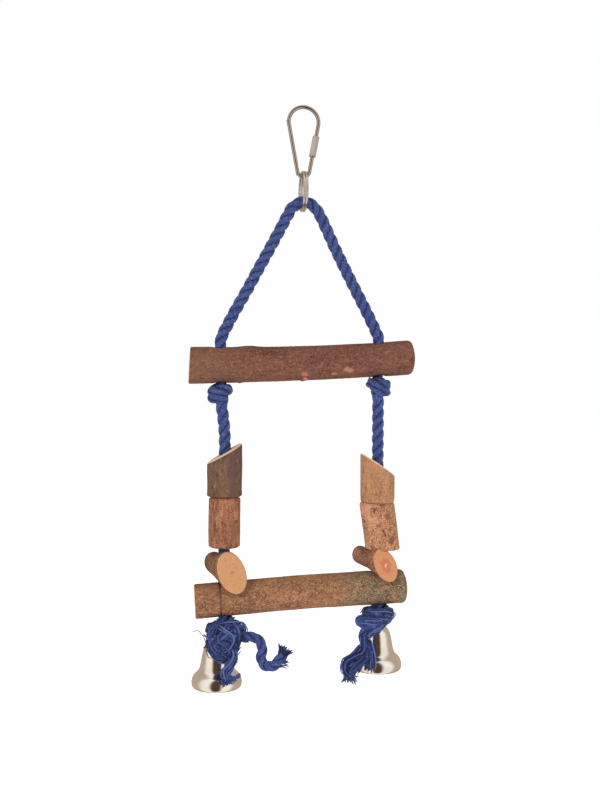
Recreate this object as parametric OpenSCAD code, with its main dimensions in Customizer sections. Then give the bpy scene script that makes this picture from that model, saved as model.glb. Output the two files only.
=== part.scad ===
// Hanging bird toy: two natural-wood perches, wooden beads and two bells on a blue cotton rope.
// Millimetres. The origin is where the link hangs on its hook, +Z is up, +X runs along the perches
// to the side where they rise, and -Y is the front.

/* [Quick link] */
// Thickness of the link's wire
link_wire = 2.4; // [2:0.1:3]
// Width across the wide upper end, outside
link_width = 21; // [19:0.2:26]
// Width across the narrow lower end, outside
link_foot = 10; // [9.6:0.2:12]
// Height of the link, outside
link_height = 45.6; // [42:0.2:52]
// Length of the screw sleeve
sleeve_length = 13; // [10:0.5:14]
// Width of the sleeve across its flats
sleeve_flats = 4; // [3.8:0.1:6]
// Way that the sleeve runs down the wire to open the link
sleeve_travel = 8; // [7:0.5:8.5]
// Opening in the wire that the sleeve bridges
link_gap = 5.4; // [4:0.2:6]

/* [Split ring] */
// Outer diameter of the ring
ring_outer = 25; // [24:0.5:30]
// Thickness of the ring's wire
ring_wire = 1.5; // [1.2:0.1:1.8]

/* [Rope] */
// Diameter of the rope
rope_d = 7; // [6:0.2:7.4]
// Radius of the rope's middle line where it folds over the ring
fold_radius = 8.2; // [7.6:0.2:10]
// Height of the upper knots
knot_height = 12.6; // [11:0.2:15]
// Width of the upper knots
knot_width = 16; // [14:0.5:20]

/* [Perches] */
// Diameter of the upper perch
upper_perch_d = 22; // [19:0.5:28]
// Length of the upper perch
upper_perch_length = 139.5; // [130:0.5:180]
// Diameter of the lower perch
lower_perch_d = 20.8; // [19:0.2:26]
// Length of the lower perch
lower_perch_length = 131.5; // [124:0.5:170]
// Depth of the middle of the upper perch below the hook
upper_perch_depth = 156.4; // [140:1:190]
// Distance from the middle of the upper perch down to the middle of the lower perch
perch_spacing = 144; // [143:0.2:175]
// Tilt of the upper perch, which rises to the right
upper_tilt = 2.6; // [0:0.1:3.5]
// Tilt of the lower perch, which rises to the right
lower_tilt = 3; // [0:0.1:3.5]
// Diameter of the rope holes in the wood
hole_d = 9; // [8.4:0.2:10]

/* [Rope places] */
// Distance of the left hole of the upper perch from the middle
upper_left_x = 51; // [46:0.5:56]
// Distance of the right hole of the upper perch from the middle
upper_right_x = 48.5; // [44:0.5:54]
// Distance of the left rope below the upper perch from the middle
rope_left_x = 47.8; // [46:0.2:54]
// Distance of the right rope below the upper perch from the middle
rope_right_x = 48; // [44:0.2:52]

/* [Beads] */
// Diameter of the left slant-cut bead
slant_left_d = 21.4; // [17:0.2:24]
// Height of the left slant-cut bead at its low side
slant_left_low = 20.6; // [14:0.2:26]
// Rise of the left bead's cut from its low side to its high side
slant_left_rise = 12.4; // [6:0.2:16]
// Diameter of the left bark bead
bark_left_d = 19.4; // [16:0.2:23]
// Height of the left bark bead
bark_left_height = 30.8; // [24:0.2:36]
// Diameter of the right slant-cut bead
slant_right_d = 21.4; // [17:0.2:24]
// Height of the right slant-cut bead at its low side
slant_right_low = 16.4; // [12:0.2:24]
// Rise of the right bead's cut from its low side to its high side
slant_right_rise = 14.4; // [6:0.2:16]
// Diameter of the right bark bead
bark_right_d = 21.8; // [18:0.2:23]
// Height of the right bark bead
bark_right_height = 29; // [24:0.2:36]
// Lean of the right bark bead's sides
bark_right_lean = 7.5; // [0:0.5:9]

/* [Cross stubs] */
// Diameter of the left stub at its thick front end
stub_left_front_d = 22.6; // [20.4:0.2:25]
// Diameter of the left stub at the rope
stub_left_mid_d = 19.8; // [16:0.2:20.4]
// Turn of the left stub towards the right
stub_left_turn = 20; // [0:1:28]
// Diameter of the right stub at its thick front end
stub_right_front_d = 17.8; // [13:0.2:19]
// Diameter of the right stub at the rope
stub_right_mid_d = 12.2; // [11.6:0.2:13]
// Turn of the right stub towards the right
stub_right_turn = 22; // [0:1:28]
// Reach of a stub's lower edge in front of the rope
stub_front = 20; // [16:0.5:24]
// Reach of a stub's lower edge behind the rope
stub_back = 15; // [12:0.5:18]
// Setback of the front cut from its lower to its upper edge
stub_cut = 13; // [4:0.5:14]
// Nose-down tilt of both stubs
stub_tilt = 5; // [0:0.5:5]

/* [Bells] */
// Diameter of a bell across its mouth
bell_d = 31.4; // [28:0.2:33]
// Height of a bell's shell
bell_height = 28.2; // [24:0.2:32]
// Thickness of a bell's sheet metal
bell_wall = 0.8; // [0.6:0.1:1.2]
// Distance of the bells' middle behind the ropes
bell_back = 11; // [10.5:0.1:13]
// Distance of the left bell from the middle
bell_left_x = 51.4; // [50:0.2:56]
// Distance of the right bell from the middle
bell_right_x = 50.4; // [47:0.2:54]
// Gap from the lower perch's underside to the top of the left bell
bell_left_drop = 17.4; // [16:0.2:22]
// Gap from the lower perch's underside to the top of the right bell
bell_right_drop = 14.6; // [14:0.2:20]
// Diameter of the clapper's ball
clapper_d = 6.4; // [5:0.2:7.6]
// Wire that hangs the bells
bell_wire = 0.7; // [0.6:0.05:0.75]

/* [Hidden] */
$fn = 48;

// Clearances
seat_gap = 0.3;       // between pieces that rest on each other and can move
stub_gap = 0.6;       // under a cross stub, which rocks on the round perch
rise_gap = 1.3;       // over a cross stub, whose thick end stands up
stub_play = 0.7;      // by which the right stub hangs to the left on its rope
fold_gap = 0.6;       // between the ring's wire and the fold of the rope
ring_gap = 0.65;      // between the link's wire and the ring's wire
run_gap = 0.05;       // between a pin or wire and the hole that it runs in

// Link: two arcs joined by straight sides, drawn on the middle of the wire
wide_r = (link_width - link_wire) / 2;
foot_r = (link_foot - link_wire) / 2;
wide_z = link_wire - link_width / 2;
foot_z = link_wire - link_height + link_foot / 2;
side_angle = asin((wide_r - foot_r) / (wide_z - foot_z));
side_length = (wide_z - foot_z) * cos(side_angle);
sleeve_start = 7;     // from the upper end of the straight side to the sleeve
// The gap of the wire, which the sleeve bares when it is down
gap_start = sleeve_start + sleeve_travel - link_gap - 0.2;
link_bottom_z = foot_z - foot_r;                 // middle of the wire at the link's foot

// Ring and the fold of the rope over it
ring_r = (ring_outer - ring_wire) / 2;
ring_z = link_bottom_z + link_wire / 2 + ring_gap + ring_wire / 2 - ring_r;
coil_step = ring_wire + 0.12;
ring_foot_z = ring_z - ring_r;                   // middle of the wire at the ring's foot
fold_z = ring_foot_z + ring_wire / 2 + fold_gap + rope_d / 2 - fold_radius;

// Upper perch, its bends and knots
function upper_z(x) = -upper_perch_depth + x * tan(upper_tilt);
function lower_z(x) = -upper_perch_depth - perch_spacing + x * tan(lower_tilt);
upper_r = upper_perch_d / 2;
lower_r = lower_perch_d / 2;
bend_rise = 2.2;      // height of the rope's bend above the perch
function bend_z(x) = upper_z(x) + upper_r + bend_rise;
function knot_z(x) = upper_z(x) - upper_r / cos(upper_tilt) - seat_gap - knot_height / 2;
function pivot_z(x) = knot_z(x) - knot_height / 2 - seat_gap - rope_d / 2;

// Stacks on the lower perch, from the bottom up, at each rope
function crest_z(x) = lower_z(x) + lower_r / cos(lower_tilt);
stub_left_r = stub_left_mid_d / 2;
stub_right_r = stub_right_mid_d / 2;
stub_left_z = crest_z(-rope_left_x) + stub_gap + stub_left_r;
bark_left_z = stub_left_z + stub_left_r + rise_gap;
slant_left_z = bark_left_z + bark_left_height + seat_gap;
stub_right_z = crest_z(rope_right_x) + stub_gap + stub_right_r;
bark_right_z = stub_right_z + stub_right_r + rise_gap;
slant_right_z = bark_right_z + bark_right_height + seat_gap;

// Share of its lean by which the leaning bead's foot stands out from the rope
foot_shift = 0.9;

// Knots under the lower perch
under_left_z = lower_z(-rope_left_x) - lower_r / cos(lower_tilt);
under_right_z = lower_z(rope_right_x) - lower_r / cos(lower_tilt);

// Bells: each hangs by an eye on the loop at the end of its wire
bell_left_top = under_left_z - bell_left_drop;
bell_right_top = under_right_z - bell_right_drop;
eye_wire = 1.1;       // wire of the bell's eye
eye_r = 2.6;          // radius of the eye, to the middle of its wire
eye_lift = 0.1;       // gap between the eye and the top of the shell
eye_rise = eye_r + eye_wire / 2 + eye_lift;
loop_r = 2.2;         // radius of the loop that holds the eye
loop_gap = 0.3;
shank_r = 0.9;        // shank of the eye, through the crown of the bell
collar_r = 1.7;       // collar of the shank, under the crown
hook_drop = 4.6;      // from the top of the shell down to the clapper's pivot
hook_r = 1.5;         // ring at the shank's foot, to the middle of its wire
hook_wire = 0.9;
ball_drop = 15;       // from the clapper's pivot to the middle of its ball
function loop_lift(top) = top + eye_rise + eye_r - eye_wire / 2 - loop_gap - bell_wire / 2;

// Shape of a bell's wall: height as a share of the bell's, radius as a share of the mouth's
bell_form = [[0, 0.96], [0.06, 0.99], [0.13, 1], [0.2, 0.975], [0.27, 0.905], [0.34, 0.82],
    [0.42, 0.74], [0.52, 0.665], [0.65, 0.59], [0.78, 0.52], [0.85, 0.47], [0.92, 0.395],
    [0.97, 0.28]];

// The left bell's wire runs round the front of the perch, and the right one's round the rope
wire_left_x = 50.4;   // distance of the left wire from the middle
wire_in = 3.1;        // from the middle of the rope hole forward to the wire inside it
wire_end = 0.5;       // thickness of the loose ends

// Routes of the free rope ends, from the knot outwards, and of the wires' loose ends, each given
// from the point where the rope leaves the lower perch
function below(pts, x, z) = [for (p = pts) [p[0] + x, p[1], p[2] + z]];
left_tail_route = below([[6.8, -4, -8.7], [10.2, -5, -10.7], [13.8, -6, -11.5],
    [18, -6.6, -11.7], [21.4, -7, -14.3], [23, -7.2, -18.7], [22.2, -7.4, -23.7],
    [23.6, -7.6, -27.9], [27.8, -7.6, -29.7], [32.2, -7.4, -27.5], [35.6, -7, -22.5]],
    -rope_left_x, under_left_z);
right_tail_route = below([[-5, -6, -8.1], [-8.4, -8, -12.3], [-10.1, -9, -16],
    [-10.5, -9.8, -19.7], [-9.4, -10.4, -23.7], [-9.4, -10.8, -27.7], [-12.6, -11, -30.7],
    [-16.8, -11, -32.7], [-19.8, -11, -36.5], [-20.2, -11, -41.3]],
    rope_right_x, under_right_z);
left_end_routes = [
    below([[-4.2, -4, -16.7], [-6.2, -4, -24.7], [-9.6, -3, -24.1], [-11, -2.6, -19.7],
        [-11.2, -2.4, -15.1], [-12.4, -2.2, -11.7], [-15.4, -2, -7.9], [-19.2, -2, -8.1]],
        -rope_left_x, under_left_z),
    below([[-6.2, -3, -13.7], [-10.2, -3, -12.1], [-10.4, -3, -7.7], [-9.4, -3, -2.7]],
        -rope_left_x, under_left_z)];
right_end_route = below([[-12.1, -6, -3.8], [-9.7, -6, -1.5], [-7, -5, -1.3]],
    rope_right_x, under_right_z);
tail_d = 6.4;

// A straight round bar from p to q
module bar(p, q, r) {
    v = q - p;
    translate(p)
        rotate([0, acos(v[2] / norm(v)), atan2(v[1], v[0])])
            cylinder(h = norm(v), r = r);
}

// A closed ring of round wire whose axis is along Z
module hoop(bend, r) {
    rotate_extrude()
        translate([bend, 0])
            circle(r = r);
}

// A tube swept along points, with each ring square to the path and turned from the side vector
function unit(v) = v / norm(v);
function ahead(pts, i) = unit(pts[min(i + 1, len(pts) - 1)] - pts[max(i - 1, 0)]);
module swept(pts, r, sides, side) {
    n = len(pts);
    rings = [for (i = [0:n - 1])
        let (t = ahead(pts, i), u = unit(cross(t, side)), w = cross(t, u))
            for (k = [0:sides - 1])
                pts[i] + r * (cos(360 * k / sides) * u + sin(360 * k / sides) * w)];
    walls = [for (i = [0:n - 2]) for (k = [0:sides - 1])
        let (a = i * sides + k, b = i * sides + (k + 1) % sides)
            for (wall = [[a, b + sides, b], [a, a + sides, b + sides]]) wall];
    foot = [[for (k = [0:sides - 1]) k]];
    tip = [[for (k = [sides - 1:-1:0]) (n - 1) * sides + k]];
    polyhedron(points = rings, faces = concat(walls, foot, tip));
}

// A log along X with its ends eased by the given chamfers
module log_body(length, r, left_ease, right_ease) {
    rotate([0, 90, 0])
        rotate_extrude()
            polygon([[0, -length / 2], [r - left_ease, -length / 2],
                [r, -length / 2 + left_ease], [r, length / 2 - right_ease],
                [r - right_ease * 0.7, length / 2], [0, length / 2]]);
}

// Points of an arc in the XZ plane about c, from angle a to angle b
function arc_points(c, bend, a, b, steps) = [for (i = [0:steps])
    let (t = a + (b - a) * i / steps) c + bend * [cos(t), 0, sin(t)]];

// Quick link: one bent wire, whose two ends face each other in its right side
module quick_link() {
    right_top = [wide_r * cos(side_angle), 0, wide_z - wide_r * sin(side_angle)];
    right_down = [-sin(side_angle), 0, -cos(side_angle)];
    color("silver")
        swept(concat([right_top + (gap_start + link_gap) * right_down],
            arc_points([0, 0, foot_z], foot_r, 360 - side_angle, 180 + side_angle, 16),
            arc_points([0, 0, wide_z], wide_r, 180 + side_angle, -side_angle, 24),
            [right_top + gap_start * right_down]), link_wire / 2, 16, [0, 1, 0]);
}

// Six-sided screw sleeve with eased ends
module link_sleeve() {
    out_r = sleeve_flats / 2 / cos(30);
    ease = 0.5;
    color("gainsboro")
        translate([0, 0, wide_z] + wide_r * [cos(side_angle), 0, -sin(side_angle)])
            rotate([0, 180 + side_angle, 0])
                translate([0, 0, sleeve_start])
                    difference() {
                        intersection() {
                            cylinder(h = sleeve_length, r = out_r, $fn = 6);
                            rotate_extrude()
                                polygon([[0, 0], [out_r - ease, 0], [out_r, ease],
                                    [out_r, sleeve_length - ease],
                                    [out_r - ease, sleeve_length], [0, sleeve_length]]);
                        }
                        translate([0, 0, -1])
                            cylinder(h = sleeve_length + 2, r = link_wire / 2 + run_gap);
                    }
}

// Split ring: two turns of one wire, which steps across at the back of the ring
module split_ring() {
    step = 10;
    jog = 25;
    function across(t) = t < 360 - jog ? -coil_step / 2
        : t > 360 + jog ? coil_step / 2
        : coil_step / 2 * sin(90 * (t - 360) / jog);
    path = [for (t = [jog + step:step:720 - jog - step])
        [across(t), ring_r * cos(t), ring_z + ring_r * sin(t)]];
    color("silver")
        swept(path, ring_wire / 2, 8, [1, 0, 0]);
}

// One knot of the upper rope: rope laid twice round itself
module upper_knot() {
    turn_r = (knot_width - rope_d * 0.9) / 2;
    coil = rope_d * 0.45;
    color([0.18, 0.22, 0.5]) {
        for (side = [-1, 1])
            translate([0, 0, side * (knot_height / 2 - coil - 1.2)])
                rotate([side * 12, side * 14, 0])
                    hoop(turn_r - 0.4, coil);
        cylinder(h = knot_height, r = turn_r, center = true);
    }
}

module upper_knot_left() {
    translate([-upper_left_x, 0, knot_z(-upper_left_x)])
        upper_knot();
}

module upper_knot_right() {
    translate([upper_right_x, 0, knot_z(upper_right_x)])
        upper_knot();
}

// Upper rope: up out of the left knot, through the perch, over the ring, and down to the right knot
module hanger_rope() {
    fold_c = [0, 0, fold_z];
    left = [-upper_left_x, 0, bend_z(-upper_left_x)];
    right = [upper_right_x, 0, bend_z(upper_right_x)];
    left_v = left - fold_c;
    right_v = right - fold_c;
    left_a = 360 + atan2(left_v[2], left_v[0]) - acos(fold_radius / norm(left_v));
    right_a = atan2(right_v[2], right_v[0]) + acos(fold_radius / norm(right_v));
    ease = 2;
    color([0.18, 0.22, 0.5])
        swept(concat(
            [[left[0], 0, knot_z(left[0]) + knot_height / 2], left - [0, 0, ease],
                left - ease / 2 * unit(left_v)],
            arc_points(fold_c, fold_radius, left_a, right_a, 14),
            [right - ease / 2 * unit(right_v), right - [0, 0, ease],
                [right[0], 0, knot_z(right[0]) + knot_height / 2]]),
            rope_d / 2, 16, [0, 1, 0]);
}

// Upper perch: a length of branch with two rope holes and a healed side shoot
module upper_perch() {
    color([0.47, 0.31, 0.26])
        translate([0, 0, -upper_perch_depth])
            rotate([0, -upper_tilt, 0])
                difference() {
                    union() {
                        log_body(upper_perch_length, upper_r, 0.3, 3);
                        translate([3, -upper_r * 0.6, -upper_r * 0.72])
                            sphere(r = 3.2);
                    }
                    for (x = [-upper_left_x, upper_right_x])
                        translate([x / cos(upper_tilt), 0, -upper_perch_d])
                            cylinder(h = 2 * upper_perch_d, r = hole_d / 2);
                }
}

// Wire end that pins the right upper knot to the perch
module knot_wire() {
    x = upper_right_x - 5.4;
    color("silver")
        bar([x, -6.6, upper_z(x) - upper_r * 0.62], [x - 3.2, -9.4, upper_z(x) - upper_r - 2.4],
            0.45);
}

// Rope below the upper perch, from its pivot under the knot down through the lower perch
module lower_line(x, foot) {
    translate([x, 0, pivot_z(x)])
        sphere(r = rope_d / 2);
    bar([x, 0, foot], [x, 0, pivot_z(x)], rope_d / 2);
}

// Left rope with its large frayed knot and the short end that hangs before the bell
module left_rope() {
    x = -rope_left_x;
    z = under_left_z - seat_gap;
    short_end = [[x + 4.6, -8.4, z - 20], [x + 4.6, -10, z - 23.4], [x + 1.6, -11, z - 30.4],
        [x + 0.6, -11.2, z - 34.8], [x + 3, -11, z - 41]];
    color([0.18, 0.22, 0.5]) {
        lower_line(x, z - 12);
        translate([x - 0.4, -2.6, z - 5])
            rotate([0, 6, 0])
                hoop(6.2, 4.4);
        translate([x - 0.4, -4.4, z - 12.6])
            sphere(r = 9);
        translate([x + 2.4, -6, z - 18.6])
            sphere(r = 6.6);
        for (i = [0:3])
            bar(short_end[i], short_end[i + 1], 3.3 + 0.2 * i);
    }
}

// Right rope with its wide flat knot
module right_rope() {
    x = rope_right_x;
    z = under_right_z - seat_gap;
    color([0.18, 0.22, 0.5]) {
        lower_line(x, z - 8);
        translate([x - 0.4, -1.6, z - 4.4])
            rotate([0, -6, 0])
                hoop(5.2, 4);
        translate([x - 0.6, -2, z - 5.2])
            sphere(r = 5.6);
        bar([x - 11, -5, z - 8], [x + 2, -4.4, z - 6.6], 3.6);
        translate([x - 11, -5, z - 8])
            sphere(r = 3.8);
    }
}

// Free end of the left rope, which curls out to the right
module left_tail() {
    color([0.2, 0.24, 0.54])
        swept(left_tail_route, tail_d / 2, 10, [0, 1, 0]);
}

// Free end of the right rope, which winds down before the bell
module right_tail() {
    color([0.2, 0.24, 0.54])
        swept(right_tail_route, tail_d / 2, 10, [0, 1, 0]);
}

// Lower perch: a shorter length of branch with two rope holes
module lower_perch() {
    color([0.55, 0.38, 0.27])
        translate([0, 0, -upper_perch_depth - perch_spacing])
            rotate([0, -lower_tilt, 0])
                difference() {
                    log_body(lower_perch_length, lower_r, 0.3, 3.4);
                    for (x = [-rope_left_x, rope_right_x])
                        translate([x / cos(lower_tilt), 0, -lower_perch_d])
                            cylinder(h = 2 * lower_perch_d, r = hole_d / 2);
                }
}

// Bead with an upright rope hole and a slanting top; side is +1 where the right side is higher
module slant_bead(d, low, rise, side) {
    difference() {
        intersection() {
            cylinder(h = low + rise, r = d / 2);
            rotate([90, 0, 0])
                linear_extrude(height = 2 * d, center = true)
                    polygon([[-d / 2, 0], [d / 2, 0],
                        [d / 2, low + (side > 0 ? rise : 0)],
                        [-d / 2, low + (side > 0 ? 0 : rise)]]);
        }
        translate([0, 0, -1])
            cylinder(h = low + rise + 2, r = hole_d / 2);
    }
}

module slant_bead_left() {
    color([0.43, 0.34, 0.27])
        translate([-rope_left_x, 0, slant_left_z])
            slant_bead(slant_left_d, slant_left_low, slant_left_rise, 1);
}

module slant_bead_right() {
    color([0.7, 0.52, 0.38])
        translate([rope_right_x, 0, slant_right_z])
            slant_bead(slant_right_d, slant_right_low, slant_right_rise, -1);
}

// Bark bead: level ends, sides that may lean, and an upright rope hole
module bark_bead(d, height, lean) {
    difference() {
        intersection() {
            cylinder(h = height, r = 2 * d);
            translate([foot_shift * height * tan(lean), 0, 0])
                rotate([0, -lean, 0])
                    cylinder(h = 4 * height, r = d / 2, center = true);
        }
        translate([0, 0, -1])
            cylinder(h = height + 2, r = hole_d / 2);
    }
}

module bark_bead_left() {
    color([0.58, 0.38, 0.3])
        translate([-rope_left_x, 0, bark_left_z])
            bark_bead(bark_left_d, bark_left_height, 0);
}

// The right bead leans, so its foot stands out to the right of the rope
module bark_bead_right() {
    color([0.68, 0.5, 0.38])
        translate([rope_right_x, 0, bark_right_z])
            bark_bead(bark_right_d, bark_right_height, bark_right_lean);
}

// Stub of branch that lies across the perch: it thins from the front to the rope, its front is
// cut on the slant, and the upright hole stands off its middle line by the shift
module cross_stub(front_d, mid_d, back_d, shift) {
    difference() {
        translate([-shift, 0, 0])
            rotate([stub_tilt, 0, 0])
                intersection() {
                    rotate([90, 0, 0])
                        rotate_extrude()
                            polygon([[0, -stub_back], [back_d / 2 - 0.8, -stub_back],
                                [back_d / 2, -stub_back + 0.8], [mid_d / 2, 0],
                                [front_d / 2, stub_front], [0, stub_front]]);
                    rotate([90, 0, 90])
                        linear_extrude(height = 2 * front_d, center = true)
                            polygon([[-stub_front, -front_d / 2], [stub_back, -front_d / 2],
                                [stub_back, 0], [stub_back - 3, front_d / 2],
                                [-stub_front + stub_cut, front_d / 2]]);
                }
        cylinder(h = 4 * front_d, r = hole_d / 2, center = true);
    }
}

module cross_stub_left() {
    color([0.6, 0.42, 0.3])
        translate([-rope_left_x, 0, stub_left_z])
            rotate([0, 0, stub_left_turn])
                cross_stub(stub_left_front_d, stub_left_mid_d, stub_left_mid_d - 6.2, 1);
}

module cross_stub_right() {
    color([0.62, 0.4, 0.3])
        translate([rope_right_x - stub_play, 0, stub_right_z])
            rotate([0, 0, stub_right_turn])
                cross_stub(stub_right_front_d, stub_right_mid_d, stub_right_mid_d, 1);
}

// Bell pressed from sheet metal, its mouth down and the top of its shell at the origin
module bell_shell() {
    rim_r = bell_d / 2;
    outside = [for (p = bell_form) [p[1] * rim_r, (p[0] - 1) * bell_height]];
    inside = [for (i = [len(bell_form) - 1:-1:0])
        let (p = bell_form[i])
            [p[1] * rim_r - bell_wall, (p[0] - 1) * bell_height - (p[0] > 0.8 ? bell_wall : 0)]];
    rotate_extrude($fn = 64)
        polygon(concat(outside, [[shank_r + run_gap, 0], [shank_r + run_gap, -bell_wall],
            [collar_r + seat_gap, -bell_wall]], inside));
}

module bell_left() {
    color([0.8, 0.76, 0.7])
        translate([-bell_left_x, bell_back, bell_left_top])
            bell_shell();
}

module bell_right() {
    color([0.8, 0.76, 0.7])
        translate([bell_right_x, bell_back, bell_right_top])
            bell_shell();
}

// Eye of a bell: a wire eye over the crown, its shank, and the ring inside for the clapper
module bell_eye() {
    inner_top = -bell_wall - run_gap;
    translate([0, 0, eye_rise])
        rotate([90, 0, 0])
            hoop(eye_r, eye_wire / 2);
    translate([0, 0, inner_top - 0.5])
        cylinder(h = 0.5 - inner_top + eye_rise - eye_r, r = shank_r);
    translate([0, 0, inner_top - 0.5])
        cylinder(h = 0.5, r = collar_r);
    bar([0, 0, -hook_drop + 2 * hook_r], [0, 0, inner_top], hook_wire / 2);
    translate([0, 0, -hook_drop + hook_r])
        rotate([0, 90, 0])
            hoop(hook_r, hook_wire / 2);
}

module bell_eye_left() {
    color("silver")
        translate([-bell_left_x, bell_back, bell_left_top])
            bell_eye();
}

module bell_eye_right() {
    color("silver")
        translate([bell_right_x, bell_back, bell_right_top])
            bell_eye();
}

// Clapper: a ball on a wire with a ring at its top
module clapper() {
    wire_r = 0.4;
    ring_r = 1.6;
    ring_top = -hook_drop + hook_wire / 2 + seat_gap + wire_r;
    translate([0, 0, ring_top - ring_r])
        rotate([90, 0, 0])
            hoop(ring_r, wire_r);
    bar([0, 0, -hook_drop - ball_drop], [0, 0, ring_top - 2 * ring_r], 0.5);
    translate([0, 0, -hook_drop - ball_drop])
        sphere(r = clapper_d / 2);
}

module clapper_left() {
    color("dimgray")
        translate([-bell_left_x, bell_back, bell_left_top])
            clapper();
}

module clapper_right() {
    color("dimgray")
        translate([bell_right_x, bell_back, bell_right_top])
            clapper();
}

// Points of the open loop at a wire's end, which holds the eye of the bell at x
function end_loop(x, top) = [for (a = [105:-30:-225])
    [x, bell_back + loop_r * cos(a), loop_lift(top) + loop_r + loop_r * sin(a)]];

// Left bell's wire: out of the rope hole, round the front of the perch, through the knot, and
// bent to a loop for the bell's eye
module bell_wire_left() {
    bend = lower_r + bell_wire / 2 + 0.1;
    in_a = asin(wire_in / bend);
    x = -wire_left_x / cos(lower_tilt);
    round_front = [for (i = [0:10])
        let (a = in_a + i * (180 - 2 * in_a) / 10) [x, -bend * sin(a), bend * cos(a)]];
    turned = [for (p = concat([[x, -wire_in, 0]], round_front))
        [p[0] * cos(lower_tilt) - p[2] * sin(lower_tilt), p[1],
            -upper_perch_depth - perch_spacing + p[0] * sin(lower_tilt) + p[2] * cos(lower_tilt)]];
    color("gray")
        swept(concat(turned, end_loop(-bell_left_x, bell_left_top)), bell_wire / 2, 8, [1, 0, 0]);
}

// Two loose ends of the left wire, which stick out of the knot
module wire_ends_left() {
    color("gray")
        for (route = left_end_routes)
            swept(route, wire_end / 2, 8, [0, 1, 0]);
}

// Right bell's wire: a loose end, round the rope above the knot, and a loop for the bell's eye
module bell_wire_right() {
    turn_r = rope_d / 2 + bell_wire / 2 + 0.1;
    turn_z = under_right_z - seat_gap - 1;
    turn = [for (a = [230:20:410])
        [rope_right_x + turn_r * cos(a), turn_r * sin(a), turn_z]];
    color("gray")
        swept(concat(right_end_route, turn, end_loop(bell_right_x, bell_right_top)),
            bell_wire / 2, 8, [1, 0, 1]);
}

quick_link();
link_sleeve();
split_ring();
hanger_rope();
upper_knot_left();
upper_knot_right();
upper_perch();
knot_wire();
left_rope();
right_rope();
left_tail();
right_tail();
lower_perch();
slant_bead_left();
bark_bead_left();
cross_stub_left();
slant_bead_right();
bark_bead_right();
cross_stub_right();
bell_left();
bell_eye_left();
clapper_left();
bell_wire_left();
wire_ends_left();
bell_right();
bell_eye_right();
clapper_right();
bell_wire_right();
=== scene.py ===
import bpy
import math
import random
import numpy as np
from mathutils import Matrix, Vector


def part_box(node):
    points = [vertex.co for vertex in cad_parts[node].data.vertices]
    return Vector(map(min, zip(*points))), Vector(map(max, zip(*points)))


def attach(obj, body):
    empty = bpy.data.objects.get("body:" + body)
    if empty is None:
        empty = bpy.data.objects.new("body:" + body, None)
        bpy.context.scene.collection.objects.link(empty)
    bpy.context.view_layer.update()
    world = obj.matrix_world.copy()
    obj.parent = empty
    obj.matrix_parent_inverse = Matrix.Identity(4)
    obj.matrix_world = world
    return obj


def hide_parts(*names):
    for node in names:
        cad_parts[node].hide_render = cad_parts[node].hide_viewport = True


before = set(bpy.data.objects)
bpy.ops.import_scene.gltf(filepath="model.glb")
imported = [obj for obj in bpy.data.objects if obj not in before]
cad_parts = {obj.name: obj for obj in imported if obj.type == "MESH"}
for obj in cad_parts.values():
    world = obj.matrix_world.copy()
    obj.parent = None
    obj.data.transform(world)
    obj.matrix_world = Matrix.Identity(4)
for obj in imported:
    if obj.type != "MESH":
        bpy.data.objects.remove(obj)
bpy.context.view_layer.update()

# Camera: level with the space between the perches, 0.6 m away and 8 degrees to the left of the
# front, and tipped by the third of a degree by which the toy hangs out of true in the picture.
yaw = math.radians(8)
tip = math.radians(0.3)
eye_away = 0.6
looked_at = Vector((-0.0014, 0, -0.1804))
ahead = Vector((math.sin(yaw), math.cos(yaw), 0))
across = Vector((math.cos(yaw), -math.sin(yaw), 0))
upward = Vector((0, 0, 1))
eye = bpy.data.cameras.new("camera")
eye.sensor_fit = "VERTICAL"
eye.sensor_height = 24
eye.lens = 29.04
camera = bpy.data.objects.new("camera", eye)
bpy.context.scene.collection.objects.link(camera)
looking = Matrix((
    across * math.cos(tip) + upward * math.sin(tip),
    upward * math.cos(tip) - across * math.sin(tip),
    -ahead)).transposed().to_4x4()
looking.translation = looked_at - eye_away * ahead
camera.matrix_world = looking
bpy.context.scene.camera = camera


# Free rope ends: the lower ropes end in loose tails of soft blue cotton, laid in three strands
# and frayed where they were cut. Each starts in its knot and keeps the strands' twist.
def linear(r, g, b):
    """A colour given as 0 to 255, in the linear values that shaders take."""
    parts = []
    for level in (r, g, b):
        level /= 255
        parts.append(level / 12.92 if level <= 0.04045 else ((level + 0.055) / 1.055) ** 2.4)
    return (*parts, 1.0)


class Level:
    """A shader socket that adds, multiplies and subtracts like a number."""

    def __init__(self, nodes, link):
        self.nodes = nodes
        self.link = link

    def step(self, operation, a, b):
        return self.nodes.node("ShaderNodeMath", {"operation": operation}, {0: a, 1: b})

    def __add__(self, other):
        return self.step("ADD", self, other)

    def __radd__(self, other):
        return self.step("ADD", other, self)

    def __sub__(self, other):
        return self.step("SUBTRACT", self, other)

    def __rsub__(self, other):
        return self.step("SUBTRACT", other, self)

    def __mul__(self, other):
        return self.step("MULTIPLY", self, other)

    def __rmul__(self, other):
        return self.step("MULTIPLY", other, self)


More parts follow.
